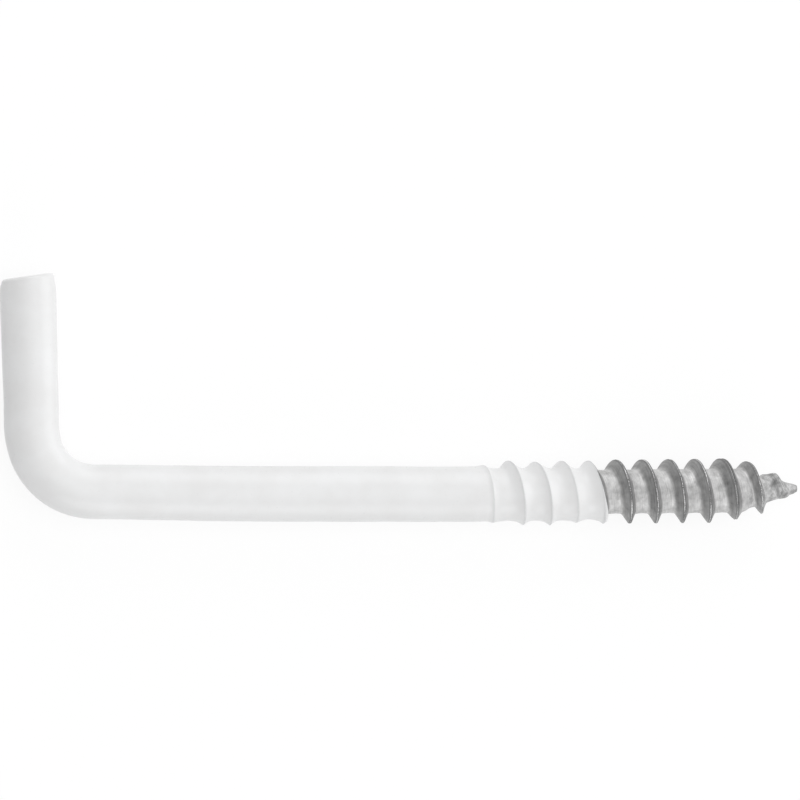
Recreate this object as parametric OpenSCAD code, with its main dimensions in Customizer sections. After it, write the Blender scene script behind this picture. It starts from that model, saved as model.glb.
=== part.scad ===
// Screw-in hinge pin: a steel wire bent to an L, with a wood-screw thread rolled on its
// long leg and a plastic coat over the pin, the bend, the shank and the first turns.
// It lies flat on a surface: +X runs along the screw to its point, +Y along the pin.

/* [Wire] */
// Diameter of the steel wire
wire_d = 3.6; // [3.4:0.1:3.8]
// Distance along the pin's axis from the screw's axis to the end face
pin_len = 15.4; // [12:0.1:30]
// Distance along the screw's axis from the pin's axis to the point
screw_len = 57; // [48:0.5:90]
// Radius of the bend, to the middle of the wire
bend_r = 4.85; // [3.5:0.05:6]
// Angle between the pin and the screw
corner_deg = 91; // [80:1:100]
// Slant of the pin's cut end
end_slant_deg = 7; // [0:1:12]

/* [Thread] */
// Diameter over the thread's crests
thread_d = 4.6; // [4.2:0.1:5.2]
// Diameter of the core, at the thread's root
root_d = 3.2; // [2.8:0.1:3.3]
// Advance of the thread in one turn
thread_pitch = 2; // [1.8:0.1:2.4]
// Length of the threaded end, point included
thread_len = 23.6; // [16:0.1:30]
// Angle of a thread flank from square to the axis
flank_deg = 30; // [22:1:32]
// Width of the flat on the crest
crest_w = 0.12; // [0.08:0.02:0.2]
// Turns over which the first crest rises out of the wire
lead_turns = 1.45; // [1.2:0.05:2]

/* [Point] */
// Length of the core's cone
point_len = 5.1; // [4:0.1:7]
// Length over which the crests run down to the point
crest_taper_len = 5.7; // [4.5:0.1:8]
// Diameter of the blunt tip
tip_d = 0.4; // [0.2:0.1:0.8]

/* [Coat] */
// Thickness of the coat on the plain wire
coat_t = 0.225; // [0.15:0.025:0.4]
// Thickness of the coat over the wire's cut end
end_coat_t = 0.4; // [0.2:0.05:0.6]
// Radius of the coat's rounded rim at the pin's end
rim_r = 0.45; // [0.3:0.05:0.6]
// Thickness of the coat on the thread's crests
crest_coat_t = 0.06; // [0.04:0.01:0.15]
// Thickness of the coat in the thread's roots, all round
root_coat_t = 0.3; // [0.26:0.02:0.4]
// How far the plastic has run together in the roots, towards -Y
root_pool = 0.16; // [0:0.01:0.18]
// Distance along the screw from the pin's axis to the coat's edge
coat_len = 42; // [38:0.1:48]
// Slant of the coat's edge, which follows a crest
coat_edge_deg = 12; // [0:1:18]

/* [Hidden] */
$fn = 64;

// A hair's breadth that keeps surfaces from lying on one another
hair = 0.02;
// Thickness of the slab that trims an end, more than any section is wide
slab = 20;
// Points of the thread nearer than this to one of its ends are drawn in to that end
sliver = 0.001;

// The bend turns the wire by what the corner leaves of a straight line
turn_deg = 180 - corner_deg;
// Distance from the corner of the two axes to either end of the bend
tangent_len = bend_r * tan(turn_deg / 2);
// The bend goes a hair into the pin, which is a hair thicker
bend_overlap_deg = asin(hair / bend_r);

wire_r = wire_d / 2;
coat_r = wire_r + coat_t;
crest_r = thread_d / 2;
root_r = root_d / 2;
tip_r = tip_d / 2;
coat_crest_r = crest_r + crest_coat_t;
coat_root_r = root_r + root_coat_t;

// The crest that starts the thread crosses the pin's side of the screw here
thread_x = screw_len - thread_len;
// The thread's mesh starts inside the wire, half a turn before that crest
mesh_x = thread_x - thread_pitch / 2;
// The plain wire ends an eighth of a turn past it, and a short cone leads it into the root
shoulder_turns = 1 / 8;
cone_turns = 1 / 3;
shoulder_x = thread_x + thread_pitch * shoulder_turns;
shoulder_len = thread_pitch * cone_turns;
// The first crest stands this far above the plain surface, until it rises in full
lead_h = 0.08;
// Turns that the first crest takes to come out of the core, and to rise in full
lead_out_turns = 0.4;
lead_rise_turns = 0.45;
cone_x = screw_len - point_len;
crest_taper_x = screw_len - crest_taper_len;
// How steeply the crests close on the point: 1 is a straight line
crest_taper_power = 2.2;
// The tip bulges a little past the cone's end
tip_bulge = tip_r / 3;

// Steps in one turn of the thread: a multiple of 4 puts crests on the Y and Z directions
turn_steps = 24;

// Cones that make up the rounded rim of the coat's end
rim_steps = 8;
// The rounded end of the coat: where the rim's arc has its centre, from the end's middle
rim_c = (coat_r + hair - rim_r * (1 - sin(end_slant_deg))) / cos(end_slant_deg);
end_deg = corner_deg + end_slant_deg;

// The box round the part, from the corner of the two axes
box_x0 = min(
    (pin_len - coat_r * tan(end_slant_deg) - rim_r) * cos(corner_deg) - coat_r * sin(corner_deg),
    tangent_len - bend_r - coat_r
);
box_x1 = screw_len + tip_bulge;
box_y0 = -coat_crest_r;
box_y1 = pin_len * sin(corner_deg) + rim_c * abs(cos(end_deg)) + rim_r * (1 - sin(end_deg));

// --- Sections of the thread ---

// A section is a list of [place in the pitch from -1/2 to 1/2, share of the thread's height].
// Steel: a flat crest, straight flanks, a soft toe and a root that dips to its middle.
function flank_place(share) =
    (crest_w / 2 + (1 - share) * (crest_r - root_r) * tan(flank_deg)) / thread_pitch;
toe_share = 0.05;
flank_foot_share = 0.25;
toe_reach = 0.02;
toe_place = flank_place(0) + toe_reach;
steel_section = [
    [-0.5, 0],
    [-toe_place, toe_share],
    [-flank_place(flank_foot_share), flank_foot_share],
    [-flank_place(1), 1],
    [flank_place(1), 1],
    [flank_place(flank_foot_share), flank_foot_share],
    [toe_place, toe_share]
];

// Coat: the plastic draws a hollow curve from crest to crest
coat_land_place = flank_place(1);
coat_steps = 4;
coat_curve_power = 2.5;
function coat_side(i) =
    let (t = i / coat_steps)
    [coat_land_place + (0.5 - coat_land_place) * t * sqrt(t), pow(1 - t * sqrt(t), coat_curve_power)];
coat_section = concat(
    [for (i = [coat_steps:-1:0]) let (p = coat_side(i)) [-p[0], p[1]]],
    [for (i = [0:coat_steps - 1]) coat_side(i)]
);

// --- Radii along the thread ---

// The crest's radius where the thread starts: out of the core, just above the plain
// surface for half a turn, then up to its full height
function lead_in(x, core, plain, full) = lookup(x, [
    [mesh_x, core],
    [mesh_x + thread_pitch * lead_out_turns, plain + lead_h],
    [mesh_x + thread_pitch * (lead_turns - lead_rise_turns), plain + lead_h],
    [mesh_x + thread_pitch * lead_turns, full]
]);

function steel_core(x) = lookup(x, [[cone_x, root_r], [screw_len, tip_r]]);

function steel_crest(x) =
    let (run = min(max((x - crest_taper_x) / crest_taper_len, 0), 1))
    max(
        steel_core(x),
        min(lead_in(x, root_r, wire_r, crest_r), crest_r * (1 - pow(run, crest_taper_power)))
    );

// Radius of the steel at a place along the screw, for a share of the thread's height
steel_radius = function (x, turn, share)
    steel_core(x) + share * (steel_crest(x) - steel_core(x));

// The same for the coat, whose roots are filled more on the side of -Y
coat_radius = function (x, turn, share)
    let (
        full_core = coat_root_r - root_pool * cos(turn),
        core = lookup(x, [[mesh_x, wire_r], [mesh_x + thread_pitch, full_core]]),
        crest = lead_in(x, core, coat_r, coat_crest_r)
    )
    core + share * (crest - core);

// --- Helical solid ---

// A right-hand thread and its core from x0 to x1, as one strip wound on the axis. Row k
// stands at k steps of a turn and holds one pitch of the section; the row a turn later
// starts where it ends. Points past either end are drawn in to that end's ring.
module thread_solid(x0, x1, section, radius, tip = 0) {
    n = turn_steps;
    m = len(section);
    first = floor(((x0 - thread_x) / thread_pitch - 0.5) * n);
    last = ceil(((x1 - thread_x) / thread_pitch + 0.5) * n);
    rows = last - first + 1;

    function at(k, j) =
        let (
            x = thread_x + thread_pitch * (k / n + section[j][0]),
            inside = x > x0 + sliver && x < x1 - sliver,
            px = inside ? x : x < (x0 + x1) / 2 ? x0 : x1,
            turn = 360 * ((k % n + n) % n) / n,
            r = radius(px, turn, inside ? section[j][1] : 0)
        )
        [px, r * cos(turn), r * sin(turn)];

    function index(k, j) =
        j < m ? (k - first) * m + j
        : k + n <= last ? (k + n - first) * m
        : rows * m + (k + n - last - 1);

    points = concat(
        [for (k = [first:last]) for (j = [0:m - 1]) at(k, j)],
        [for (k = [last + 1:last + n]) at(k, 0)],
        [[x0, 0, 0], [x1 + tip, 0, 0]]
    );
    start_middle = len(points) - 2;
    end_middle = len(points) - 1;

    faces = concat(
        [for (k = [first:last - 1]) for (j = [0:m - 1])
            each [
                [index(k, j), index(k + 1, j + 1), index(k + 1, j)],
                [index(k, j), index(k, j + 1), index(k + 1, j + 1)]
            ]],
        [for (k = [first:first + n - 1]) [start_middle, index(k, 0), index(k + 1, 0)]],
        [for (k = [last - n:last - 1]) [end_middle, index(k + 1, m), index(k, m)]]
    );

    // Triangles that lost a side when their points were drawn in are left out
    polyhedron(points, [
        for (f = faces)
            if (points[f[0]] != points[f[1]]
                && points[f[1]] != points[f[2]]
                && points[f[2]] != points[f[0]]) f
    ]);
}

// --- Wire and rod shapes, from the corner of the two axes ---

// Stands what it holds on the pin's axis, with +X along it
module on_pin(along = 0) {
    rotate([0, 0, corner_deg]) translate([along, 0, 0]) children();
}

// The bend and the shank of a wire of radius pin_r; the shank narrows to foot_r at its end
module bend_and_shank(pin_r, foot_r) {
    r = pin_r - hair;
    leg = shoulder_x - tangent_len;
    translate([tangent_len, bend_r, 0])
        rotate_extrude(angle = -turn_deg - bend_overlap_deg, start = -90)
            translate([bend_r, 0]) circle(r);
    translate([tangent_len, 0, 0])
        rotate([0, 90, 0])
            rotate_extrude()
                polygon([[0, 0], [r, 0], [r, leg], [foot_r, leg + shoulder_len], [0, leg + shoulder_len]]);
}

// A straight pin of radius r from the bend to past its end
module long_pin(r) {
    on_pin(tangent_len) rotate([0, 90, 0]) cylinder(r = r, h = pin_len + r - tangent_len);
}

// What lies below the pin's slanted end, with its rim rounded by an arc. The sides flare
// with the slant, so that the arc meets the pin's wall all the way round.
module below_rounded_end() {
    arc = [for (a = [90:-(90 + end_slant_deg) / rim_steps:-end_slant_deg])
        [rim_c + rim_r * cos(a), rim_r * (sin(a) - 1)]];
    foot = arc[len(arc) - 1];
    on_pin(pin_len)
        rotate([0, 0, end_slant_deg])
            rotate([0, 90, 0])
                rotate_extrude()
                    polygon(concat(
                        [[0, -pin_len], [0, 0]],
                        arc,
                        [[foot[0] + (pin_len + foot[1]) * tan(end_slant_deg), -pin_len]]
                    ));
}

// --- Sub-parts, from the corner of the two axes ---

module bare_steel() {
    difference() {
        long_pin(wire_r);
        on_pin(pin_len - end_coat_t)
            rotate([0, 0, end_slant_deg])
                translate([0, -slab / 2, -slab / 2]) cube(slab);
    }
    bend_and_shank(wire_r, root_r - hair);
    thread_solid(mesh_x, screw_len, steel_section, steel_radius, tip_bulge);
}

module coat_outside() {
    intersection() {
        long_pin(coat_r);
        below_rounded_end();
    }
    bend_and_shank(coat_r, coat_root_r - root_pool - hair);
    thread_solid(mesh_x, coat_len + thread_pitch, coat_section, coat_radius);
}

// --- Nodes, in the part's frame ---

// Moves the part so that the middle of its box's underside is the origin
module lay_down() {
    translate([-(box_x0 + box_x1) / 2, -(box_y0 + box_y1) / 2, coat_crest_r]) children();
}

module steel_screw() {
    color("silver") lay_down() bare_steel();
}

module plastic_coating() {
    color("whitesmoke") lay_down() difference() {
        coat_outside();
        translate([coat_len, 0, 0])
            rotate([0, 0, coat_edge_deg])
                translate([0, -slab / 2, -slab / 2]) cube(slab);
        bare_steel();
    }
}

steel_screw();
plastic_coating();
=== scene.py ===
"""Dresses the screw-in hinge pin: its plastic coat, its bare rolled thread, the studio and the camera.

Lengths are in millimetres, measured from the corner where the pin's axis and the screw's axis
cross, with +X along the screw to its point and +Y along the pin. They become metres in the
part's own frame when a mesh is made.
"""

import logging
import math
from dataclasses import dataclass, field
from enum import Enum
from typing import Callable

import bmesh
import bpy
import numpy as np
from mathutils import Matrix, Vector


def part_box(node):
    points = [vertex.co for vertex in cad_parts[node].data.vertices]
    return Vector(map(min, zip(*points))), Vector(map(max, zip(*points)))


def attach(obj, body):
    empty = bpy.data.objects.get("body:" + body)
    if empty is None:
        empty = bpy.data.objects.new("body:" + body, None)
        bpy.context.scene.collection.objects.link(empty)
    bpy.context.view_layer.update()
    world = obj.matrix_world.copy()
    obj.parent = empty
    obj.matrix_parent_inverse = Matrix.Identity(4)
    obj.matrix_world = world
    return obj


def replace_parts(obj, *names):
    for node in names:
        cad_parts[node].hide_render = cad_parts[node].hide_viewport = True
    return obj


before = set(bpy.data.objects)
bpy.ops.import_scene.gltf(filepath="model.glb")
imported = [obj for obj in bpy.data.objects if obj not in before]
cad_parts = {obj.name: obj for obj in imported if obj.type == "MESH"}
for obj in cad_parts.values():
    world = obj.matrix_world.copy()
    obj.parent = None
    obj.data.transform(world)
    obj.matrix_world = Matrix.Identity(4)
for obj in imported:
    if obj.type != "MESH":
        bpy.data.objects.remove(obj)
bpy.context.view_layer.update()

log = logging.getLogger("hinge_pin")

MM = 0.001
TURN = 2 * math.pi
STEPS_PER_TURN = 96
WELD_MM = 1e-5
MIX_SHARE, MIX_A, MIX_B, MIX_RESULT = 0, 6, 7, 2

Array = np.ndarray
Radius = Callable[[Array, Array], Array]
Edge = Callable[[Array, Array], Array]
Span = tuple[float, float]
Stations = tuple[Span, ...]
Colour = tuple[float, float, float]


class Node(Enum):
    """The nodes of the part that are dressed."""

    STEEL = "steel_screw"
    COAT = "plastic_coating"


class Slot(Enum):
    """The material slots of the part's record."""

    ZINC = "zinc_plated_steel"
    PLASTIC = "white_plastic"


class Mark(Enum):
    """Values that a mesh carries at each point for its finish to read."""

    HEIGHT = "thread_height"
    # Where the painted highlight runs along the crests.
    CREST_HIGHLIGHT = "painted_crest_highlight"
    THIN = "thin_coat"
    ROLLED = "rolled_grain"


# --- Small helpers for shapes ---


def smooth_max(a: Array, b: Array, blend: float) -> Array:
    """Returns the larger of a and b, rounded over where they cross within blend."""
    near = np.maximum(blend - np.abs(a - b), 0) / blend
    return np.maximum(a, b) + near * near * blend / 4


def smooth_min(a: Array, b: Array, blend: float) -> Array:
    """Returns the smaller of a and b, rounded over where they cross within blend."""
    return -smooth_max(-a, -b, blend)


def ease(t: Array) -> Array:
    """Returns t eased from 0 to 1, flat at both ends."""
    t = np.clip(t, 0, 1)
    return t * t * (3 - 2 * t)


def through(stations: Stations, at: Array) -> Array:
    """Returns a smooth curve through the stations that never overshoots them.

    Args:
        stations: Pairs of a place and the value there.
        at: The places at which the curve is read.

    Returns:
        The values at those places.
    """
    place, value = np.array(stations).T
    grade = np.diff(value) / np.diff(place)
    same_way = grade[:-1] * grade[1:] > 0
    both = np.where(same_way, grade[:-1] + grade[1:], 1.0)
    slope = np.concatenate([[0], np.where(same_way, 2 * grade[:-1] * grade[1:] / both, 0), [0]])
    at = np.clip(at, place[0], place[-1])
    i = np.clip(np.searchsorted(place, at) - 1, 0, len(place) - 2)
    gap = place[i + 1] - place[i]
    t = (at - place[i]) / gap
    rise = value[i + 1] - value[i]
    bend_in = gap * slope[i] - rise
    bend_out = rise - gap * slope[i + 1]
    return value[i] + t * rise + t * (1 - t) * ((1 - t) * bend_in + t * bend_out)


def ripple(t: Array, waves: int, seed: int) -> Array:
    """Returns a smooth uneven wave between about -1 and 1.

    Each sine wave in it is quicker and lower than the one before.

    Args:
        t: Where along the wave, with features about one unit long.
        waves: How many sine waves are added up.
        seed: Which wave it is.

    Returns:
        The height of the wave at each t.
    """
    draw = np.random.default_rng(seed)
    total = np.zeros_like(t, dtype=float)
    for i in range(waves):
        pace = (0.6 + 0.7 * i) * draw.uniform(0.8, 1.25)
        total += np.sin(pace * t + draw.uniform(0, TURN)) / (1 + 0.45 * i)
    return total / math.sqrt(waves)


@dataclass
class Patch:
    """A grid of points, one ring or row after another, with the marks of each point."""

    points: Array
    height: Array
    line: Array
    thin: Array
    rolled: Array
    closed: bool = True

    @classmethod
    def plain(cls, points: Array, x: Array) -> "Patch":
        """Makes a patch of closed rings that carries no thread.

        Args:
            points: The grid of points.
            x: The place along the wire of each point.

        Returns:
            The patch.
        """
        none = np.zeros(points.shape[:2])
        rolled = np.stack([none, none, x], axis=-1)
        return cls(points, none, none, none, rolled)


def weld(patches: list[Patch]) -> tuple[Array, list[tuple[int, ...]], dict[Mark, Array]]:
    """Joins patches where their points meet.

    Args:
        patches: The patches, each a grid of points.

    Returns:
        The points, the faces, and each mark's value at each point.
    """
    points = np.vstack([p.points.reshape(-1, 3) for p in patches])
    marks = {
        Mark.HEIGHT: np.concatenate([p.height.ravel() for p in patches]),
        Mark.CREST_HIGHLIGHT: np.concatenate([p.line.ravel() for p in patches]),
        Mark.THIN: np.concatenate([p.thin.ravel() for p in patches]),
        Mark.ROLLED: np.vstack([p.rolled.reshape(-1, 3) for p in patches]),
    }
    _, first, index = np.unique(
        np.round(points / WELD_MM).astype(np.int64), axis=0, return_index=True, return_inverse=True
    )
    index = index.ravel()
    faces: list[tuple[int, ...]] = []
    base = 0
    for patch in patches:
        rows, columns = patch.points.shape[:2]
        grid = index[base : base + rows * columns].reshape(rows, columns)
        base += rows * columns
        after = np.roll(grid, -1, axis=1) if patch.closed else grid[:, 1:]
        here = grid if patch.closed else grid[:, :-1]
        quads = np.stack([here[:-1], after[:-1], after[1:], here[1:]], axis=-1).reshape(-1, 4)
        for quad in quads.tolist():
            kept = [c for i, c in enumerate(quad) if c != quad[i - 1]]
            if len(set(kept)) >= 3:
                faces.append(tuple(kept))
    return points[first], faces, {mark: values[first] for mark, values in marks.items()}


# --- The wire ---


@dataclass(frozen=True)
class Wire:
    """The bent steel wire: its sizes, and the slight bow of its long leg."""

    steel_radius: float = 1.8
    pin_length: float = 15.4
    screw_length: float = 57.0
    bend_radius: float = 4.85
    corner_deg: float = 91.0
    tip_radius: float = 0.2
    half_thickness: float = 2.36
    slope_reach: float = 0.2
    bow_stations: Stations = (
        (2, 0.0), (5.8, -0.05), (8.7, -0.085), (14.7, -0.158), (20, -0.177), (25, -0.172),
        (28, -0.145), (31, -0.088), (34, -0.045), (38, -0.02), (41, 0.0), (45, 0.042),
        (49, 0.088), (54, 0.135), (56.2, 0.21), (57.1, 0.27),
    )

    @property
    def turn(self) -> float:
        """The angle that the bend turns the wire through, in radians."""
        return math.radians(180 - self.corner_deg)

    @property
    def tangent(self) -> float:
        """The distance from the corner to either end of the bend."""
        return self.bend_radius * math.tan(self.turn / 2)

    @property
    def straight_pin(self) -> float:
        """The length of the pin's straight part."""
        return self.pin_length - self.tangent

    @property
    def bend_length(self) -> float:
        """The length of the wire's middle line round the bend."""
        return self.bend_radius * self.turn

    @property
    def bend_end(self) -> float:
        """The distance along the middle line from the pin's end to the bend's end."""
        return self.straight_pin + self.bend_length

    @property
    def tip_bulge(self) -> float:
        """The height of the low dome that closes the tip."""
        return self.tip_radius / 3

    def bow(self, x: Array) -> Array:
        """Returns how far the long leg strays from its axis towards +Y, at each x."""
        return through(self.bow_stations, x)

    def place(self, run: Array, angle: Array, radius: Array) -> Array:
        """Places points round the wire.

        Args:
            run: The distance along the wire's middle line from the pin's end.
            angle: The angle round the wire, from the inside of the bend towards +Z.
            radius: The distance from the middle line.

        Returns:
            The points, from the corner of the two axes.
        """
        lean = np.clip((run - self.straight_pin) / self.bend_radius - self.turn, -self.turn, 0)
        ahead = np.maximum(run - self.straight_pin - self.bend_length, 0)
        behind = np.maximum(self.straight_pin - run, 0)
        x = self.tangent + self.bend_radius * np.sin(lean) + ahead
        y = self.bend_radius * (1 - np.cos(lean))
        x = x - behind * math.cos(self.turn)
        reach = self.slope_reach
        slope = (self.bow(x + reach) - self.bow(x - reach)) / (2 * reach) * (ahead > 0)
        y = y + behind * math.sin(self.turn) + self.bow(x)
        across = radius * np.cos(angle)
        x = x - across * (np.sin(lean) + slope)
        return np.stack([x, y + across * np.cos(lean), radius * np.sin(angle)], axis=-1)

    def run_at(self, x: Array) -> Array:
        """Returns the distance along the middle line of a place x on the long leg."""
        return self.bend_end + x - self.tangent

    def stops(self, start: float, end: float, straight_step: float, bend_step: float) -> Array:
        """Spaces rings along the middle line, closer together in the bend.

        Args:
            start: Where the first ring stands.
            end: Where the last ring stands.
            straight_step: The step along the straight parts.
            bend_step: The step round the bend.

        Returns:
            The distances of the rings from the pin's end.
        """
        return np.concatenate(
            [
                np.arange(start, self.straight_pin, straight_step),
                np.arange(self.straight_pin, self.bend_end, bend_step),
                np.arange(self.bend_end, end, straight_step),
                [end],
            ]
        )


def ring_angles() -> Array:
    """Returns the angles of the points of one ring."""
    return TURN * np.arange(STEPS_PER_TURN) / STEPS_PER_TURN


def sleeve(wire: Wire, runs: Array, radius: Radius) -> Patch:
    """Sweeps rings along the wire.

    Args:
        wire: The wire.
        runs: The distances along the middle line at which rings stand.
        radius: The radius at each run and angle.

    Returns:
        The rings as a patch.
    """
    run, angle = np.meshgrid(runs, ring_angles(), indexing="ij")
    return Patch.plain(wire.place(run, angle, radius(run, angle)), run)


def disc(wire: Wire, run: float, radius: float, shares: tuple[float, ...]) -> Patch:
    """Lays a flat disc across the wire.

    Args:
        wire: The wire.
        run: The disc's distance along the middle line.
        radius: The disc's radius.
        shares: The radii of its rings, as shares of its own.

    Returns:
        The disc as a patch.
    """
    radii, angle = np.meshgrid(np.array(shares) * radius, ring_angles(), indexing="ij")
    runs = np.full_like(radii, run)
    return Patch.plain(wire.place(runs, angle, radii), runs)


# --- The thread ---


@dataclass(frozen=True)
class Thread:
    """The rolled thread and its gimlet point, whose turns both pieces follow."""

    wire: Wire
    crest_radius: float = 2.33
    root_radius: float = 1.58
    pitch: float = 2.0
    length: float = 23.6
    near_flank_deg: float = 36.0
    far_flank_deg: float = 26.0
    unlike_from_turn: float = 4.2
    crest_width: float = 0.15
    shift_stations: Stations = (
        (-0.6, 0.0), (0.0, 0.04), (0.25, -0.14), (0.5, -0.06), (1.0, 0.0), (5.0, 0.0), (5.5, 0.02),
        (6.0, 0.0), (7.6, 0.0), (8.0, -0.03), (8.5, -0.025), (9.0, -0.015), (9.5, -0.02), (10.0, 0.012),
        (10.5, -0.02), (11.0, -0.02), (11.5, 0.09),
    )
    crest_stations: Stations = (
        (3.0, -0.16), (4.0, -0.1), (4.5, -0.13), (5.0, 0.0), (8.7, 0.0), (9.0, 0.02), (9.2, 0.0),
        (9.5, -0.16), (10.0, 0.02), (10.5, 0.0), (10.8, -0.3), (10.97, -0.1), (11.12, 0.06),
        (11.3, -0.1), (11.5, -0.02), (12.0, -0.03),
    )
    width_stations: Stations = (
        (4.2, -0.1), (4.6, 0.0), (8.6, 0.0), (9.0, 0.2), (9.3, 0.15), (9.5, 0.02), (10.0, 0.1),
        (10.5, -0.08), (11.0, 0.4), (11.4, 0.15),
    )
    fade_turns: float = 0.4
    coated_turns: Span = (0.4, 4.9)
    coated_sway: float = 0.025
    lap_turns: Span = (8.8, 9.65)
    lap_fade: float = 0.15
    lap_depth: float = 0.1
    lap_width: float = 0.05
    tilt_from: float = 49.0
    tilt_run: float = 3.0
    tilt: float = 0.13
    lead_turns: float = 1.45
    lead_height: float = 0.1
    lead_rise: float = 0.4
    lead_swell: float = 0.45
    shoulder_share: float = 0.25
    run_out_length: float = 5.7
    run_out_power: float = 2.2
    squeeze_from: float = 50.4
    squeeze: float = 0.03
    cone_stations: Stations = (
        (52.7, 1.58), (53.1, 1.47), (53.4, 1.3), (53.75, 1.19), (54.4, 1.01), (54.87, 0.855),
        (55.5, 0.69), (56.06, 0.57), (56.5, 0.43), (56.8, 0.35), (57.0, 0.26),
    )
    bare_from: float = 41.9
    crest_wander: float = 0.018
    wander_pace: float = 9.0
    crest_chips: float = 0.02
    chip_pace: float = 31.0
    chip_power: int = 6
    spare_turns: float = 0.7
    columns: int = 40
    column_crowding: float = 1.7
    crest_blend: float = 0.1
    toe_blend: float = 0.16
    root_dip: float = 0.05
    marked_height: float = 0.3
    # Where in the pitch the painted crest highlight runs, and how wide it is.
    highlight_at: float = -0.015
    highlight_width: float = 0.014

    @property
    def start(self) -> float:
        """The place where the first crest crosses the pin's side of the screw."""
        return self.wire.screw_length - self.length

    @property
    def mesh_start(self) -> float:
        """The place where the plain wire's rings meet the thread's rows."""
        return self.start - self.pitch / 2

    def turns_at(self, x: Array) -> Array:
        """Returns how many turns the thread has made at x; the last ones are a little closer."""
        late = np.maximum(x - self.squeeze_from, 0)
        return (x - self.start + self.squeeze * late) / self.pitch

    def x_at(self, turns: Array) -> Array:
        """Finds the place at which the thread has made so many turns.

        Args:
            turns: The turns made.

        Returns:
            The x of each place.
        """
        x = self.start + self.pitch * turns
        late = np.maximum(x - self.squeeze_from, 0)
        return x - late * self.squeeze / (1 + self.squeeze)

    def tilted(self, x: Array, angle: Array) -> Array:
        """Returns how far the last turns lean over at a place: their far side lies ahead."""
        return self.tilt * ease((x - self.tilt_from) / self.tilt_run) * (1 - np.cos(angle)) / 2

    def across(self, x: Array, angle: Array) -> Array:
        """Finds the place in the pitch at each point.

        Args:
            x: The place along the screw.
            angle: The angle round it.

        Returns:
            The place, from -1/2 to 1/2, with 0 on a crest.
        """
        turns = self.turns_at(x - self.tilted(x, angle))
        start, end = self.coated_turns
        coated = ease((turns - start) / self.fade_turns) * ease((end - turns) / self.fade_turns)
        sway = self.coated_sway * np.cos(TURN * turns) * coated
        turns = turns - through(self.shift_stations, turns) + sway - angle / TURN
        return turns - np.floor(turns + 0.5)

    def column_places(self) -> Array:
        """Returns the places in the pitch of one row's points, crowded towards the crest."""
        even = np.linspace(-1, 1, self.columns + 1)[:-1]
        return 0.5 * np.sign(even) * np.abs(even) ** self.column_crowding

    def share(self, across: Array, turns: Array) -> Array:
        """Returns the share of the thread's height at each place in the pitch.

        Args:
            across: The place in the pitch, from -1/2 to 1/2.
            turns: The turn that the nearest crest belongs to.

        Returns:
            The share, from 0 in the root to 1 on the crest.
        """
        away = np.abs(across) * self.pitch
        width = self.crest_width + through(self.width_stations, turns)
        unlike = ease((turns - self.unlike_from_turn) / self.fade_turns)
        spread = (self.near_flank_deg - self.far_flank_deg) * unlike
        degrees = self.far_flank_deg + spread * (across < 0)
        flank_run = (self.crest_radius - self.root_radius) * np.tan(np.radians(degrees))
        flank = 1 - (away - width / 2) / flank_run
        # The root is lowest half way between two crests.
        root = self.root_dip * np.clip(2 - 4 * np.abs(across), 0, 1)
        toed = smooth_max(flank, root, self.toe_blend)
        share = smooth_min(toed, np.ones_like(flank), self.crest_blend)
        start, end = self.lap_turns
        lapped = ease((turns - start) / self.lap_fade) * ease((end - turns) / self.lap_fade)
        return share - self.lap_depth * lapped * np.exp(-((away / self.lap_width) ** 2))

    def core(self, x: Array) -> Array:
        """Returns the radius of the core, which is a cone near the point."""
        return through(self.cone_stations, x)

    def lead_in(self, x: Array, core: Array, plain: Array, full: Array) -> Array:
        """Returns the radius of a crest that rises out of the plain wire.

        Args:
            x: The place along the screw.
            core: The radius that the crest starts from.
            plain: The radius of the plain wire.
            full: The full radius of the crest.

        Returns:
            The crest's radius at each x.
        """
        turns = (x - self.mesh_start) / self.pitch
        lifted = plain + self.lead_height
        rise = core + (lifted - core) * ease(turns / self.lead_rise)
        last_turns = turns - self.lead_turns + self.lead_swell
        return rise + (full - lifted) * ease(last_turns / self.lead_swell)

    def steel_crest(self, x: Array) -> Array:
        """Finds the radius of the steel crest, which rises, strays a little and runs out.

        Args:
            x: The place along the screw.

        Returns:
            The crest's radius at each x.
        """
        run = np.clip((x - self.wire.screw_length + self.run_out_length) / self.run_out_length, 0, 1)
        uneven = through(self.crest_stations, self.turns_at(x))
        closing = self.crest_radius * (1 - run**self.run_out_power) + uneven
        rising = self.lead_in(x, self.core(x), self.wire.steel_radius, self.crest_radius + uneven)
        return np.maximum(self.core(x), np.minimum(rising, closing))

    def steel(self, x: Array, angle: Array) -> Array:
        """Finds the radius of the bare steel, with the small faults of a rolled crest.

        Args:
            x: The place along the screw.
            angle: The angle round it.

        Returns:
            The radius at each point.
        """
        across = self.across(x, angle)
        turns = self.turns_at(x) - across
        core = self.core(x)
        height = self.steel_crest(x) - core
        bare = ease(x - self.bare_from) * np.clip(height, 0, 1)
        wander = self.crest_wander * ripple(turns * self.wander_pace, waves=4, seed=3) * bare
        share = self.share(across + wander, turns)
        chipped = np.abs(ripple(turns * self.chip_pace, waves=5, seed=7))
        chips = -self.crest_chips * chipped * share**self.chip_power
        shoulder = np.clip((self.start - x) / (self.pitch / 3) + self.shoulder_share, 0, 1)
        plain = self.wire.steel_radius * ease(shoulder)
        return np.maximum(core + share * height + chips * bare, plain)

    def last_ring(self, x: Array, angle: Array) -> Array:
        """Returns the place of the last ring of steel at each angle; x is unused."""
        return np.full_like(angle, self.wire.screw_length)

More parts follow.
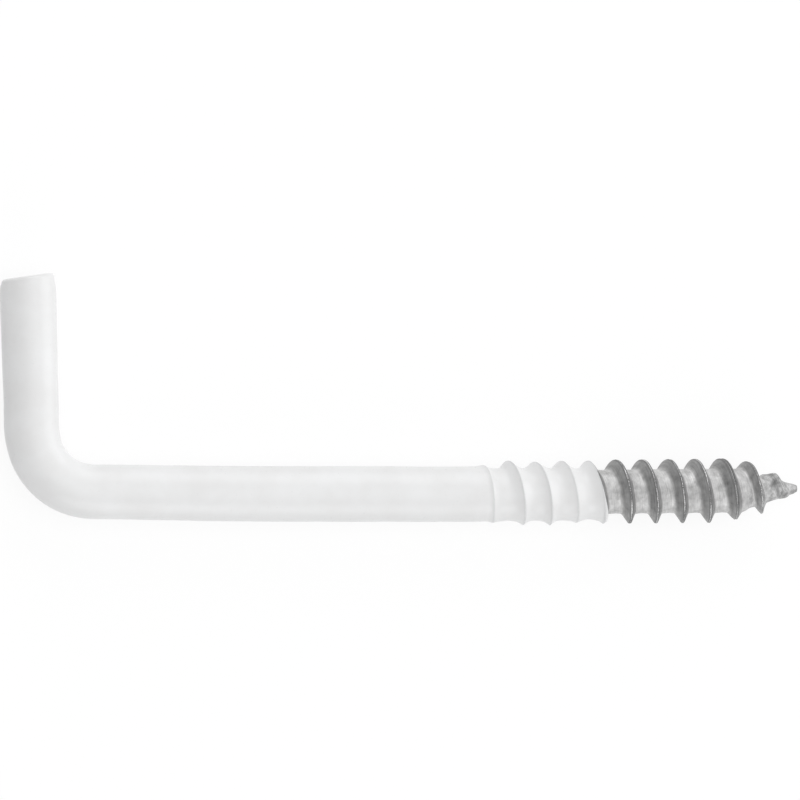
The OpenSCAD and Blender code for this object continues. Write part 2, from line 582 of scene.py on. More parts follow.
    def rows(self, radius: Radius, end: Edge) -> Patch:
        """Winds rows of points on the axis, each one pitch long, so that they follow the thread.

        Args:
            radius: The radius at each x and angle.
            end: The x of the last ring at each angle; its first argument is unused.

        Returns:
            The rows as an open patch whose last column meets the first one a turn later.
        """
        angles = ring_angles()
        none = np.zeros_like(angles)
        first_turns = self.turns_at(self.mesh_start) - self.spare_turns
        last_turns = self.turns_at(np.max(end(none, angles))) + self.spare_turns
        first = math.floor(first_turns * STEPS_PER_TURN) - 1
        last = math.ceil(last_turns * STEPS_PER_TURN) + 1
        places = np.append(self.column_places(), 0.5)
        step, place = np.meshgrid(np.arange(first, last + 1), places, indexing="ij")
        angle = TURN * np.mod(step, STEPS_PER_TURN) / STEPS_PER_TURN
        x = self.x_at(step / STEPS_PER_TURN + place)
        x = x + self.tilted(x, angle)
        x = np.clip(x, self.mesh_start, end(x, angle))
        across = self.across(x, angle)
        points = self.wire.place(self.wire.run_at(x), angle, radius(x, angle))
        rolled = np.stack([np.cos(TURN * across), np.sin(TURN * across), x], axis=-1)
        share = self.share(across, self.turns_at(x) - across)
        core = self.core(x)
        height = share * np.clip((self.steel_crest(x) - core) / self.marked_height, 0, 1)
        # The painted highlight: a narrow band along each crest that the finish draws near white.
        line = height * np.exp(-(((across - self.highlight_at) / self.highlight_width) ** 2))
        return Patch(points, height, line, np.zeros_like(x), rolled, closed=False)


# --- Meshes ---


def add_mesh(name: str, patches: list[Patch], origin: Vector, sharp_deg: float) -> bpy.types.Object:
    """Makes a smooth mesh object out of patches.

    Args:
        name: The object's name.
        patches: The patches, in millimetres from the corner of the two axes.
        origin: The corner of the two axes in the part's frame, in metres.
        sharp_deg: Edges that turn more than this are kept sharp.

    Returns:
        The object.
    """
    points, faces, marks = weld(patches)
    mesh = bpy.data.meshes.new(name)
    mesh.from_pydata((points * MM + np.array(origin)).tolist(), [], faces)
    for mark, values in marks.items():
        kind = "FLOAT_VECTOR" if mark is Mark.ROLLED else "FLOAT"
        attribute = mesh.attributes.new(mark.value, kind, "POINT")
        key = "vector" if mark is Mark.ROLLED else "value"
        attribute.data.foreach_set(key, values.astype(np.float32).ravel())
    shape = bmesh.new()
    shape.from_mesh(mesh)
    bmesh.ops.recalc_face_normals(shape, faces=shape.faces)
    for face in shape.faces:
        face.smooth = True
    for edge in shape.edges:
        edge.smooth = edge.calc_face_angle(0.0) < math.radians(sharp_deg)
    shape.to_mesh(mesh)
    shape.free()
    piece = bpy.data.objects.new(name, mesh)
    bpy.context.scene.collection.objects.link(piece)
    return piece


# --- Finishes ---


@dataclass
class Shader:
    """The nodes of a material or a world under construction."""

    owner: bpy.types.Material | bpy.types.World
    tree: bpy.types.NodeTree = field(init=False)

    def __post_init__(self) -> None:
        """Clears the owner's node tree."""
        self.owner.use_nodes = True
        self.tree = self.owner.node_tree
        self.tree.nodes.clear()

    def add(self, kind: str, **settings: object) -> bpy.types.Node:
        """Adds a node.

        Args:
            kind: The kind of node.
            settings: Its properties, by name.

        Returns:
            The node.
        """
        node = self.tree.nodes.new(kind)
        for key, value in settings.items():
            setattr(node, key, value)
        return node

    def join(self, source: bpy.types.NodeSocket, target: bpy.types.NodeSocket) -> None:
        """Links one socket to another."""
        self.tree.links.new(source, target)

    def math(self, how: str, a: object, b: object = 0.0) -> bpy.types.NodeSocket:
        """Adds a Math node.

        Args:
            how: The operation.
            a: A socket or a number.
            b: A socket or a number.

        Returns:
            The result's socket.
        """
        node = self.add("ShaderNodeMath", operation=how)
        for slot, value in zip(node.inputs, (a, b)):
            if isinstance(value, bpy.types.NodeSocket):
                self.join(value, slot)
            else:
                slot.default_value = value
        return node.outputs[0]

    def attribute(self, mark: Mark) -> bpy.types.Node:
        """Adds a node that reads a mark of the mesh."""
        return self.add("ShaderNodeAttribute", attribute_name=mark.value)

    def place_mm(self) -> bpy.types.NodeSocket:
        """Reads the place on the object.

        Returns:
            The place in millimetres.
        """
        where = self.add("ShaderNodeTexCoord")
        scaled = self.add("ShaderNodeVectorMath", operation="SCALE")
        scaled.inputs["Scale"].default_value = 1 / MM
        self.join(where.outputs["Object"], scaled.inputs[0])
        return scaled.outputs[0]

    def noise(
        self, at: bpy.types.NodeSocket, per_mm: float, detail: float, rough: float = 0.55
    ) -> bpy.types.NodeSocket:
        """Adds a noise texture.

        Args:
            at: The place to read the noise at.
            per_mm: How many features there are in a millimetre.
            detail: How many finer layers are added.
            rough: How strong the finer layers are.

        Returns:
            The noise, about 0.5 on average.
        """
        node = self.add("ShaderNodeTexNoise")
        node.inputs["Scale"].default_value = per_mm
        node.inputs["Detail"].default_value = detail
        node.inputs["Roughness"].default_value = rough
        self.join(at, node.inputs["Vector"])
        return node.outputs["Fac"]

    def ramp(
        self, value: bpy.types.NodeSocket, stops: list[tuple[float, Colour]]
    ) -> bpy.types.NodeSocket:
        """Adds a colour ramp.

        Args:
            value: What the ramp reads.
            stops: The places and colours of its stops.

        Returns:
            The colour's socket.
        """
        node = self.add("ShaderNodeValToRGB")
        band = node.color_ramp.elements
        while len(band) < len(stops):
            band.new(1.0)
        for stop, (place, colour) in zip(band, stops):
            stop.position = place
            stop.color = (*colour, 1.0)
        self.join(value, node.inputs["Fac"])
        return node.outputs["Color"]

    def greys(self, value: bpy.types.NodeSocket, span: Span, levels: Span) -> bpy.types.NodeSocket:
        """Adds a ramp between two greys.

        Args:
            value: What the ramp reads.
            span: Where the ramp starts and ends.
            levels: The greys there.

        Returns:
            The grey's socket.
        """
        return self.ramp(value, [(place, grey(level)) for place, level in zip(span, levels)])

    def blend(self, share: object, a: object, b: object, how: str = "MIX") -> bpy.types.NodeSocket:
        """Adds a colour mix.

        Args:
            share: How much of b there is.
            a: The first colour.
            b: The second colour.
            how: The way the two are mixed.

        Returns:
            The colour's socket.
        """
        node = self.add("ShaderNodeMix", data_type="RGBA", blend_type=how)
        for index, value in ((MIX_SHARE, share), (MIX_A, a), (MIX_B, b)):
            slot = node.inputs[index]
            if isinstance(value, bpy.types.NodeSocket):
                self.join(value, slot)
            elif isinstance(value, tuple):
                slot.default_value = (*value, 1.0)
            else:
                slot.default_value = value
        return node.outputs[MIX_RESULT]

    def bump(
        self, height: bpy.types.NodeSocket, depth_mm: float, under: bpy.types.NodeSocket | None = None
    ) -> bpy.types.NodeSocket:
        """Adds a bump.

        Args:
            height: The height, from 0 to 1.
            depth_mm: The depth in millimetres from 0 to 1.
            under: The normal of a coarser bump below it.

        Returns:
            The normal's socket.
        """
        node = self.add("ShaderNodeBump")
        node.inputs["Strength"].default_value = 1.0
        node.inputs["Distance"].default_value = depth_mm * MM
        self.join(height, node.inputs["Height"])
        if under is not None:
            self.join(under, node.inputs["Normal"])
        return node.outputs[0]

    def gloss(self, value: bpy.types.NodeSocket, middle: float, spread: float) -> bpy.types.NodeSocket:
        """Returns a roughness that strays about its middle value by half the spread each way."""
        return self.math("ADD", self.math("MULTIPLY", value, spread), middle - spread / 2)

    def seen(self) -> bpy.types.NodeSocket:
        """Tells the rays that show a thing from the rays that light others.

        Returns:
            1 from the camera, off metal and through glass, and 0 otherwise.
        """
        path = self.add("ShaderNodeLightPath")
        seen = self.math("MAXIMUM", path.outputs["Is Camera Ray"], path.outputs["Is Glossy Ray"])
        return self.math("MAXIMUM", seen, path.outputs["Is Transmission Ray"])

    def finish(self, shader: bpy.types.NodeSocket) -> None:
        """Links the last shader to the owner's output."""
        kind = "World" if isinstance(self.owner, bpy.types.World) else "Material"
        self.join(shader, self.add(f"ShaderNodeOutput{kind}").inputs["Surface"])

    def surface(
        self,
        colour: bpy.types.NodeSocket,
        gloss: bpy.types.NodeSocket,
        relief: bpy.types.NodeSocket,
        **constants: float,
    ) -> None:
        """Adds the surface itself and links it to the output.

        Args:
            colour: Its base colour.
            gloss: Its roughness.
            relief: Its bumped normal.
            constants: The values of its other sockets, by name.
        """
        surface = self.add("ShaderNodeBsdfPrincipled")
        for name, value in constants.items():
            surface.inputs[name].default_value = value
        self.join(colour, surface.inputs["Base Color"])
        self.join(gloss, surface.inputs["Roughness"])
        self.join(relief, surface.inputs["Normal"])
        self.finish(surface.outputs[0])


def grey(level: float, warmth: float = 0.0) -> Colour:
    """Returns a grey of that level; warmth above 0 leans to yellow, below 0 to blue."""
    return level * (1 + warmth), level, level * (1 - warmth)


@dataclass(frozen=True)
class DippedPlastic:
    """White plastic that the wire was dipped in: satin, a little uneven, thin over the crests."""

    light: float = 0.83
    dull: float = 0.79
    tint: float = -0.004
    wave_stops: Span = (0.35, 0.65)
    thin: float = 0.50
    thin_tint: float = -0.01
    thin_bias: float = 0.45
    ior: float = 1.46
    roughness: float = 0.30
    roughness_spread: float = 0.14
    wave_per_mm: float = 0.35
    grain_per_mm: float = 7.0
    wave_depth_mm: float = 0.02
    grain_depth_mm: float = 0.0015

    def build(self) -> bpy.types.Material:
        """Makes the material.

        Returns:
            The material.
        """
        material = bpy.data.materials.new("dipped_white_plastic")
        shader = Shader(material)
        at = shader.place_mm()
        wave = shader.noise(at, self.wave_per_mm, detail=3.0)
        grain = shader.noise(at, self.grain_per_mm, detail=2.0)
        low, high = self.wave_stops
        colour = shader.ramp(wave, [(low, grey(self.dull)), (high, grey(self.light, self.tint))])
        patchy = shader.math("ADD", grain, self.thin_bias)
        thin = shader.math("MULTIPLY", shader.attribute(Mark.THIN).outputs["Fac"], patchy)
        colour = shader.blend(thin, colour, grey(self.thin, self.thin_tint))
        gloss = shader.gloss(grain, self.roughness, self.roughness_spread)
        relief = shader.bump(wave, self.wave_depth_mm)
        relief = shader.bump(grain, self.grain_depth_mm, under=relief)
        shader.surface(colour, gloss, relief, IOR=self.ior)
        return material


@dataclass(frozen=True)
class RolledZinc:
    """Dull zinc on rolled steel: mottled pale roots, painted shade on the flanks and crests, and a
    painted highlight, a broken bright line, on the crest.
    """

    # Painted shade: the flanks and crests get darker greys than the roots, standing in for the dark
    # surroundings they reflect and the shade in the grooves.
    root: float = 0.56
    flank: float = 0.31
    crest: float = 0.17
    warmth: float = 0.004
    height_stops: tuple[float, float, float, float] = (0.02, 0.38, 0.86, 0.97)
    uneven_share: float = 0.16
    # The grey of the painted crest highlight, and the noise level above which it breaks through.
    line: float = 0.95
    highlight_from: float = 1.03
    # The mottled greys at the point; the pale end of this ramp is partly painted highlight, for glints on
    # the cone.
    point_levels: Span = (0.30, 0.55)
    point_stops: Span = (0.4, 0.7)
    point_from: float = 53.6
    point_rise: float = 0.9
    point_share: float = 0.75
    noise_stops: Span = (0.3, 0.7)
    mottle_levels: Span = (0.66, 1.28)
    streak_levels: Span = (0.8, 1.18)
    metallic: float = 0.45
    roughness: float = 0.45
    roughness_spread: float = 0.3
    mottle_per_mm: float = 1.7
    grain_per_mm: float = 16.0
    streaks: float = 5.0
    streak_depth_mm: float = 0.012
    grain_depth_mm: float = 0.004

    def build(self) -> bpy.types.Material:
        """Makes the material.

        Returns:
            The material.
        """
        material = bpy.data.materials.new("rolled_zinc_steel")
        shader = Shader(material)
        at = shader.place_mm()
        mottle = shader.noise(at, self.mottle_per_mm, detail=6.0, rough=0.62)
        grain = shader.noise(at, self.grain_per_mm, detail=3.0)
        rolled = shader.attribute(Mark.ROLLED).outputs["Vector"]
        streak = shader.noise(rolled, self.streaks, detail=4.0, rough=0.6)
        colour = self.by_height(shader, mottle)
        # Towards the point the colour turns to mottled greys whose pale patches are partly painted
        # highlight.
        point_tone_and_glints = shader.greys(mottle, self.point_stops, self.point_levels)
        colour = shader.blend(self.near_point(shader, rolled), colour, point_tone_and_glints)
        patches = shader.greys(mottle, self.noise_stops, self.mottle_levels)
        colour = shader.blend(1.0, colour, patches, "MULTIPLY")
        lines = shader.greys(streak, self.noise_stops, self.streak_levels)
        colour = shader.blend(1.0, colour, lines, "MULTIPLY")
        # Paints a broken near-white highlight along each crest.
        broken = shader.math("GREATER_THAN", shader.math("ADD", grain, streak), self.highlight_from)
        bright = shader.math("MULTIPLY", shader.attribute(Mark.CREST_HIGHLIGHT).outputs["Fac"], broken)
        colour = shader.blend(bright, colour, grey(self.line))
        gloss = shader.gloss(mottle, self.roughness, self.roughness_spread)
        relief = shader.bump(streak, self.streak_depth_mm)
        relief = shader.bump(grain, self.grain_depth_mm, under=relief)
        shader.surface(colour, gloss, relief, Metallic=self.metallic)
        return material

    def by_height(self, shader: Shader, mottle: bpy.types.NodeSocket) -> bpy.types.NodeSocket:
        """Colours the thread by its height, from its roots to its crests; the darker flanks and crests
        are painted shade.

        Args:
            shader: The material's nodes.
            mottle: The noise that makes the colours' edges uneven.

        Returns:
            The colour's socket.
        """
        stray = shader.math("MULTIPLY", shader.math("SUBTRACT", mottle, 0.5), self.uneven_share)
        uneven = shader.math("ADD", shader.attribute(Mark.HEIGHT).outputs["Fac"], stray)
        # Pale roots, then the painted shade of the flanks and crests.
        colours = [
            grey(self.root, self.warmth),
            grey(self.flank, self.warmth),
            grey(self.flank),
            grey(self.crest),
        ]
        return shader.ramp(uneven, list(zip(self.height_stops, colours)))

    def near_point(self, shader: Shader, rolled: bpy.types.NodeSocket) -> bpy.types.NodeSocket:
        """Measures how far a place is into the point, where the colour turns to mottled greys whose pale
        patches are partly painted highlight.

        Args:
            shader: The material's nodes.
            rolled: The mark that carries the place along the wire.

        Returns:
            The socket of a share, from 0 to the share that the point keeps.
        """
        along = shader.add("ShaderNodeSeparateXYZ")
        shader.join(rolled, along.inputs[0])
        past = shader.math("SUBTRACT", along.outputs["Z"], self.point_from)
        share = shader.math("MAXIMUM", shader.math("MULTIPLY", past, self.point_rise), 0.0)
        return shader.math("MINIMUM", share, self.point_share)


# --- The two pieces ---


@dataclass
class SteelScrew:
    """The bent steel wire with its rolled thread and gimlet point."""

    wire: Wire
    thread: Thread
    end_inset: float = 0.4
    plain_step: float = 0.8
    bend_step: float = 0.4
    end_rings: tuple[float, ...] = (0.0, 0.5, 0.9, 1.0)
    tip_rings: int = 6
    sharp_deg: float = 70.0

    def plain_wire(self) -> Patch:
        """Sweeps the plain wire from its cut end to the thread.

        Returns:
            The wire as a patch.
        """
        wire = self.wire
        end = wire.run_at(self.thread.mesh_start)
        runs = wire.stops(self.end_inset, end, self.plain_step, self.bend_step)
        return sleeve(wire, runs, lambda run, angle: np.full_like(run, wire.steel_radius))

    def cut_end(self) -> Patch:
        """Closes the wire's cut end, which the coat hides."""
        return disc(self.wire, self.end_inset, self.wire.steel_radius, self.end_rings)

    def threaded(self) -> Patch:
        """Winds the thread from the plain wire to the point."""
        return self.thread.rows(self.thread.steel, self.thread.last_ring)

    def tip(self) -> Patch:
        """Closes the blunt tip with a small dome.

        Returns:
            The dome as a patch.
        """
        arc = np.linspace(0, math.pi / 2, self.tip_rings)
        turned, angle = np.meshgrid(arc, ring_angles(), indexing="ij")
        x = self.wire.screw_length + self.wire.tip_bulge * np.sin(turned)
        rim = self.thread.steel(np.full_like(angle, self.wire.screw_length), angle)
        return Patch.plain(self.wire.place(self.wire.run_at(x), angle, rim * np.cos(turned)), x)

    def build(self, origin: Vector) -> bpy.types.Object:
        """Makes the piece, dresses it and sets it in its node's place.

        Args:
            origin: The corner of the two axes in the part's frame, in metres.

        Returns:
            The piece.
        """
        patches = [self.cut_end(), self.plain_wire(), self.threaded(), self.tip()]
        piece = add_mesh("rolled_screw", patches, origin, self.sharp_deg)
        piece.data.materials.append(RolledZinc().build())
        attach(piece, "root")
        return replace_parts(piece, Node.STEEL.value)


@dataclass
class PlasticCoat:
    """The plastic over the pin, the bend, the shank and the first turns of the thread."""

    wire: Wire
    thread: Thread
    end_radius: float = 1.9
    pin_radius: float = 2.03
    pin_foot_radius: float = 1.975
    bend_middle_radius: float = 1.96
    shank_start_radius: float = 1.965
    shank_radius: float = 2.0
    end_length: float = 1.2
    bend_reach: float = 2.0
    shank_reach: float = 12.0
    slow_wave: float = 0.006
    slow_pace: float = 0.9
    slow_twist: float = 0.8
    quick_wave: float = 0.004
    quick_pace: float = 2.3
    quick_twist: float = 1.1
    wave_fade: float = 2.0
    end_slant_deg: float = 7.0
    slant_fade: float = 3.0
    rim: float = 0.28
    rim_rings: int = 10
    cap_rings: int = 6
    step: float = 0.25
    bend_step: float = 0.12
    crest_radius: float = 2.315
    crest_stations: Stations = (
        (0.9, -0.03), (1.5, 0.05), (2.0, -0.11), (2.5, 0.08), (3.0, -0.05), (3.5, -0.08),
        (4.0, -0.045), (4.5, -0.015), (5.0, 0.0),
    )
    crest_land: float = 0.03
    soft_width: float = 0.17
    soft_until: float = 0.4
    soft_fade: float = 0.5
    swell_turns: float = 0.45
    swell_from: float = 0.5
    lead_height: float = 0.085
    lead_rise: float = 0.4
    lead_ahead: float = 1.25
    root_radius: float = 1.9
    root_from: float = 0.02
    thin_root: float = 0.07
    thin_root_from: float = 3.0
    root_pool: float = 0.16
    pool_stations: Stations = (
        (0, 0.0), (5, -0.03), (9.4, -0.09), (11.7, -0.075), (13, 0.02), (15.5, 0.1),
        (17.5, 0.03), (19, 0.0), (39, 0.0), (42, 0.045), (45.8, 0.1),
    )
    edge_x: float = 41.92
    edge_slant_deg: float = 12.3
    edge_sag: float = 0.17
    edge_ragged: float = 0.025
    edge_pace: float = 3.0
    curve_power: float = 2.0
    thin_crest: float = 0.5
    thin_power: int = 10
    inner_start: float = 0.4
    inner_step: float = 0.8
    inner_bend_step: float = 0.4
    inner_rings: tuple[float, ...] = (0.0, 0.5, 1.0)
    inner_gap: float = 0.004
    least_skin: float = 0.002
    lip_rings: int = 4
    sharp_deg: float = 60.0

    @property
    def end_slope(self) -> float:
        """The slope of the coat's slanted free end."""
        return math.tan(math.radians(self.end_slant_deg))

    def radius_along(self, run: Array) -> Array:
        """Finds the coat's radius along the plain wire, which draws thin round the bend.

        Args:
            run: The distance along the middle line.

        Returns:
            The mean radius there.
        """
        wire = self.wire
        stations = [
            (0.0, self.end_radius),
            (self.end_length, self.pin_radius),
            (wire.straight_pin - self.bend_reach, self.pin_foot_radius),
            (wire.straight_pin + wire.bend_length / 2, self.bend_middle_radius),
            (wire.bend_end + self.bend_reach, self.shank_start_radius),
            (wire.bend_end + self.shank_reach, self.shank_radius),
            (wire.run_at(self.thread.mesh_start), self.shank_radius),
        ]
        radius = np.full_like(run, self.end_radius)
        for (a, at_a), (b, at_b) in zip(stations, stations[1:]):
            radius = np.where(run >= a, at_a + (at_b - at_a) * ease((run - a) / (b - a)), radius)
        return radius

    def skin(self, run: Array, angle: Array) -> Array:
        """Finds the outer radius on the plain wire, with the plastic's slow unevenness.

        Args:
            run: The distance along the middle line.
            angle: The angle round the wire.

        Returns:
            The radius at each point.
        """
        slow = run * self.slow_pace + self.slow_twist * np.cos(angle)
        quick = run * self.quick_pace + self.quick_twist * np.sin(angle)
        wave = self.slow_wave * ripple(slow, waves=4, seed=11)
        wave += self.quick_wave * ripple(quick, waves=3, seed=12)
        to_thread = self.wire.run_at(self.thread.mesh_start) - run
        fade = ease(run / self.wave_fade) * ease(to_thread / self.wave_fade)
        pool = through(self.pool_stations, run) * np.cos(angle)
        return self.radius_along(run) - pool + wave * fade

    def cover(self, x: Array, angle: Array) -> Array:
        """Finds the outer radius over the thread, where the plastic draws hollow curves.

        Args:
            x: The place along the screw.
            angle: The angle round it.

        Returns:
            The radius at each point.
        """
        thread = self.thread
        across = thread.across(x, angle)
        turns = thread.turns_at(x)
        land = self.crest_land / thread.pitch
        away = np.clip((np.abs(across) - land) / (0.5 - land), 0, 1)
        soft = np.exp(-((across / self.soft_width) ** 2)) * (1 - away)
        drawn = ease((turns - self.soft_until) / self.soft_fade)
        share = soft + ((1 - away) ** self.curve_power - soft) * drawn
        shank = self.shank_radius - self.pool_stations[-1][1] * np.cos(angle)
        thinning = self.thin_root * ease(turns - self.thin_root_from)
        root = self.root_radius - thinning - self.root_pool * np.cos(angle)
        core = shank + (root - shank) * ease((turns - self.root_from) / self.swell_turns)
        full = self.crest_radius + through(self.crest_stations, turns)
        crest = shank + self.lead_height * ease(turns / self.lead_rise + self.lead_ahead)
        swell = ease((turns - self.swell_from) / self.swell_turns)
        crest = crest + (full - shank - self.lead_height) * swell
        return core + share * (crest - core)

    def edge(self, x: Array, angle: Array) -> Array:
        """Finds the place of the coat's edge at each angle, ragged by a hair.

        Args:
            x: Unused.
            angle: The angle round the screw.

        Returns:
            The x of the edge at each angle.
        """
        y = self.thread.crest_radius * np.cos(angle)
        line = self.edge_x - y * math.tan(math.radians(self.edge_slant_deg))
        sag = self.edge_sag * ease(-np.cos(angle))
        ragged = self.edge_ragged * ripple(angle * self.edge_pace, waves=4, seed=21)
        return line + sag + ragged * np.sin(angle / 2)

    def outer_end(self) -> Patch:
        """Closes the coat's free end: a flat slanted face with a rounded rim.

        Returns:
            The end as a patch.
        """
        cap = np.linspace(0, 1, self.cap_rings, endpoint=False)
        arc = np.linspace(0, math.pi / 2, self.rim_rings)
        flat = self.end_radius - self.rim
        radii = np.concatenate([cap * flat, flat + self.rim * np.sin(arc)])
        drop = np.concatenate([0.0 * cap, self.rim * (1 - np.cos(arc))])
        radius, angle = np.meshgrid(radii, ring_angles(), indexing="ij")
        run = drop[:, None] - radius * np.cos(angle) * self.end_slope
        return Patch.plain(self.wire.place(run, angle, radius), run)

    def plain_cover(self) -> Patch:
        """Sweeps the coat from its free end's rim to the thread.

        Returns:
            The coat on the plain wire as a patch.
        """
        end = self.wire.run_at(self.thread.mesh_start)
        runs = self.wire.stops(self.rim, end, self.step, self.bend_step)
        run, angle = np.meshgrid(runs, ring_angles(), indexing="ij")
        fade = np.clip(1 - (run - self.rim) / self.slant_fade, 0, 1)
        run = run - self.end_radius * np.cos(angle) * self.end_slope * fade
        radius = self.skin(run, angle)
        radius[0] = self.end_radius
        radius[-1] = self.cover(np.full(STEPS_PER_TURN, self.thread.mesh_start), ring_angles())
        return Patch.plain(self.wire.place(run, angle, radius), run)

    def threaded_cover(self) -> Patch:
        """Winds the coat over the first turns of the thread up to its edge.

        Returns:
            The cover as a patch, marked as thin on its crests.
        """
        patch = self.thread.rows(self.cover, self.edge)
        patch.thin = patch.height**self.thin_power * self.thin_crest
        return patch

    def inside(self, x: Array, angle: Array) -> Array:
        """Returns the radius of the coat's inner face, a hair off the steel."""
        lining = self.thread.steel(x, angle) + self.inner_gap
        return np.minimum(lining, self.cover(x, angle) - self.least_skin)

    def lip(self) -> Patch:
        """Turns the coat's edge in to the steel.

        Returns:
            The edge's face as a patch.
        """
        angles = ring_angles()
        at_edge = self.edge(angles, angles)
        outer = self.cover(at_edge, angles)
        inner = self.inside(at_edge, angles)
        steps = np.linspace(0, 1, self.lip_rings)[:, None]
        radius = outer[None] + (inner - outer)[None] * steps
        x = np.repeat(at_edge[None], self.lip_rings, axis=0)
        angle = np.repeat(angles[None], self.lip_rings, axis=0)
        return Patch.plain(self.wire.place(self.wire.run_at(x), angle, radius), x)

    def inner_face(self) -> list[Patch]:
        """Lines the coat along the steel and closes it behind the wire's cut end.

        Returns:
            The linings of the thread, of the plain wire and of its cut end.
        """
        wire = self.wire
        radius = wire.steel_radius + self.inner_gap
        end = wire.run_at(self.thread.mesh_start)
        runs = wire.stops(self.inner_start, end, self.inner_step, self.inner_bend_step)
        threaded = self.thread.rows(self.inside, self.edge)
        plain = sleeve(wire, runs, lambda run, angle: np.full_like(run, radius))
        cap = disc(wire, self.inner_start, radius, self.inner_rings)
        return [threaded, plain, cap]

    def build(self, origin: Vector) -> bpy.types.Object:
        """Makes the piece, dresses it and sets it in its node's place.

        Args:
            origin: The corner of the two axes in the part's frame, in metres.

        Returns:
            The piece.
        """
        outside = [self.outer_end(), self.plain_cover(), self.threaded_cover(), self.lip()]
        piece = add_mesh("dipped_coat", outside + self.inner_face(), origin, self.sharp_deg)
        piece.data.materials.append(DippedPlastic().build())
        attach(piece, "root")
        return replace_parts(piece, Node.COAT.value)


# --- The studio ---


@dataclass(frozen=True)
class Lamp:
    """One soft lamp, aimed at the middle of the part."""

    name: str
    towards: tuple[float, float, float]
    size: float
    watts: float
    distance: float = 0.8
    mirrored: bool = True

    def build(self) -> bpy.types.Object:
        """Hangs the lamp.

        Returns:
            The lamp.
        """
        light = bpy.data.lights.new(self.name, "AREA")
        light.shape = "DISK"
        light.size = self.size
        light.energy = self.watts
        lamp = bpy.data.objects.new(self.name, light)
        direction = Vector(self.towards).normalized()
        lamp.location = direction * self.distance
        lamp.rotation_euler = direction.to_track_quat("Z", "Y").to_euler()
        lamp.visible_glossy = self.mirrored
        bpy.context.scene.collection.objects.link(lamp)
        return lamp


@dataclass(frozen=True)
class Studio:
    """A pale floor, a pale room and soft lamps."""

    floor_size: float = 3.0
    floor_white: float = 0.82
    floor_glow_share: float = 0.84
    floor_glow: float = 1.04
    room_white: float = 1.0
    room_light: float = 0.57
    lamps: tuple[Lamp, ...] = (
        Lamp("top_softbox", (0.0, 0.0, 1.0), size=0.8, watts=2.32, mirrored=False),
        Lamp("right_softbox", (1.0, 0.15, 0.36), size=0.8, watts=1.95),
        Lamp("far_softbox", (0.1, 1.0, 0.36), size=0.8, watts=2.1),
        Lamp("near_softbox", (0.1, -1.0, 0.40), size=0.6, watts=1.4),
    )

    def floor_material(self) -> bpy.types.Material:
        """Makes the floor's finish: pale, lit by itself towards the camera, with a faint shadow.

        Returns:
            The material.
        """
        material = bpy.data.materials.new("pale_floor")
        shader = Shader(material)
        matt = shader.add("ShaderNodeBsdfDiffuse")
        matt.inputs["Color"].default_value = (*grey(self.floor_white), 1.0)
        glow = shader.add("ShaderNodeEmission")
        glow.inputs["Strength"].default_value = self.floor_glow
        share = shader.math("MULTIPLY", shader.seen(), self.floor_glow_share)
        mixed = shader.add("ShaderNodeMixShader")
        for source, target in zip((share, matt.outputs[0], glow.outputs[0]), mixed.inputs):
            shader.join(source, target)
        shader.finish(mixed.outputs[0])
        return material

    def floor(self) -> bpy.types.Object:
        """Lays the floor under the part.

        Returns:
            The floor.
        """
        half = self.floor_size / 2
        mesh = bpy.data.meshes.new("floor")
        corners = [(-half, -half, 0), (half, -half, 0), (half, half, 0), (-half, half, 0)]
        mesh.from_pydata(corners, [], [(0, 1, 2, 3)])
        floor = bpy.data.objects.new("floor", mesh)
        floor.data.materials.append(self.floor_material())
        bpy.context.scene.collection.objects.link(floor)
        return floor

    def room(self) -> None:
        """Sets the room's even light, which looks white to the camera."""
        world = bpy.data.worlds.new("pale_room")
        shader = Shader(world)
        level = shader.add("ShaderNodeMapRange")
        level.inputs["To Min"].default_value = self.room_light
        level.inputs["To Max"].default_value = self.room_white
        shader.join(shader.seen(), level.inputs["Value"])
        back = shader.add("ShaderNodeBackground")
        shader.join(level.outputs[0], back.inputs["Strength"])
        shader.finish(back.outputs[0])
        bpy.context.scene.world = world

    def build(self) -> None:
        """Sets up the floor, the room and the lamps."""
        self.floor()
        self.room()
        for lamp in self.lamps:
            lamp.build()


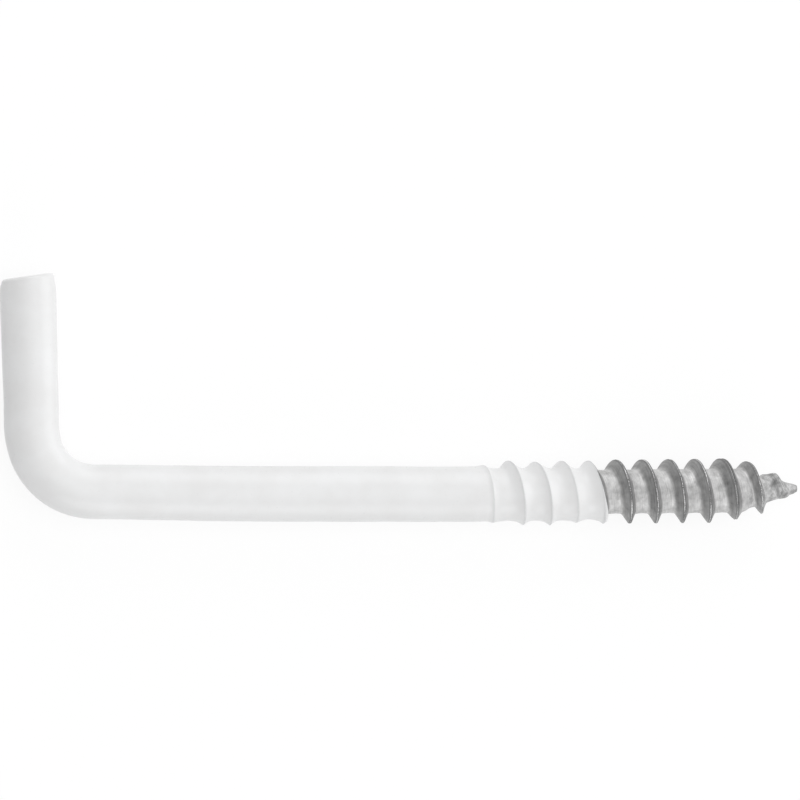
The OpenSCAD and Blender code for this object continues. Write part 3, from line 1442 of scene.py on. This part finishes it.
@dataclass(frozen=True)
class LongCamera:
    """A camera with a long lens, almost overhead and leaning to the pin's side."""

    lean_deg: float = 14.6367
    tip_deg: float = -0.7734
    roll_deg: float = -0.0163
    frame_width_mm: float = 57.68
    right_mm: float = 0.4862
    up_mm: float = 0.004
    axis_height_mm: float = 2.36
    distance_mm: float = 1000.0
    sensor_mm: float = 36.0
    nearest_m: float = 0.01
    farthest_m: float = 20.0

    def axes(self) -> tuple[Vector, Vector, Vector]:
        """Works out how the camera stands.

        Returns:
            The picture's right and up, and the direction to the camera.
        """
        lean, tip, roll = (math.radians(a) for a in (self.lean_deg, self.tip_deg, self.roll_deg))
        level = math.cos(tip)
        out = Vector((-math.sin(lean) * level, math.sin(tip), math.cos(lean) * level))
        right = Vector((0, 1, 0)).cross(out).normalized()
        up = out.cross(right)
        return (
            math.cos(roll) * right + math.sin(roll) * up,
            math.cos(roll) * up - math.sin(roll) * right,
            out,
        )

    def build(self) -> bpy.types.Object:
        """Sets the camera up and makes it the scene's.

        Returns:
            The camera.
        """
        right, up, out = self.axes()
        middle = right * self.right_mm + up * self.up_mm
        middle = middle + out * ((self.axis_height_mm - middle.z) / out.z)
        data = bpy.data.cameras.new("long_lens")
        data.sensor_width = self.sensor_mm
        data.lens = self.sensor_mm * self.distance_mm / self.frame_width_mm
        data.clip_start = self.nearest_m
        data.clip_end = self.farthest_m
        camera = bpy.data.objects.new("long_lens", data)
        turned = Matrix((right, up, out)).transposed()
        place = (middle + out * self.distance_mm) * MM
        camera.matrix_world = Matrix.Translation(place) @ turned.to_4x4()
        bpy.context.scene.collection.objects.link(camera)
        bpy.context.scene.camera = camera
        return camera


def corner_of_axes(wire: Wire) -> Vector:
    """Finds where the two axes cross.

    Args:
        wire: The wire, whose sizes lead there from the solids' own boxes.

    Returns:
        The place in the part's frame, in metres.
    """
    _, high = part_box(Node.STEEL.value)
    low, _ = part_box(Node.COAT.value)
    half = wire.half_thickness * MM
    return Vector((high.x - (wire.screw_length + wire.tip_bulge) * MM, low.y + half, low.z + half))


def main() -> None:
    """Builds the pieces, the studio and the camera in order."""
    logging.basicConfig(level=logging.INFO, format="%(name)s: %(message)s")
    bpy.context.scene.view_settings.view_transform = "Standard"
    wire = Wire()
    thread = Thread(wire)
    origin = corner_of_axes(wire)
    for part in (SteelScrew(wire, thread), PlasticCoat(wire, thread)):
        piece = part.build(origin)
        log.info("%s has %d faces", piece.name, len(piece.data.polygons))
    Studio().build()
    camera = LongCamera().build()
    log.info("camera with a %.0f mm lens", camera.data.lens)


if __name__ == "__main__":
    main()
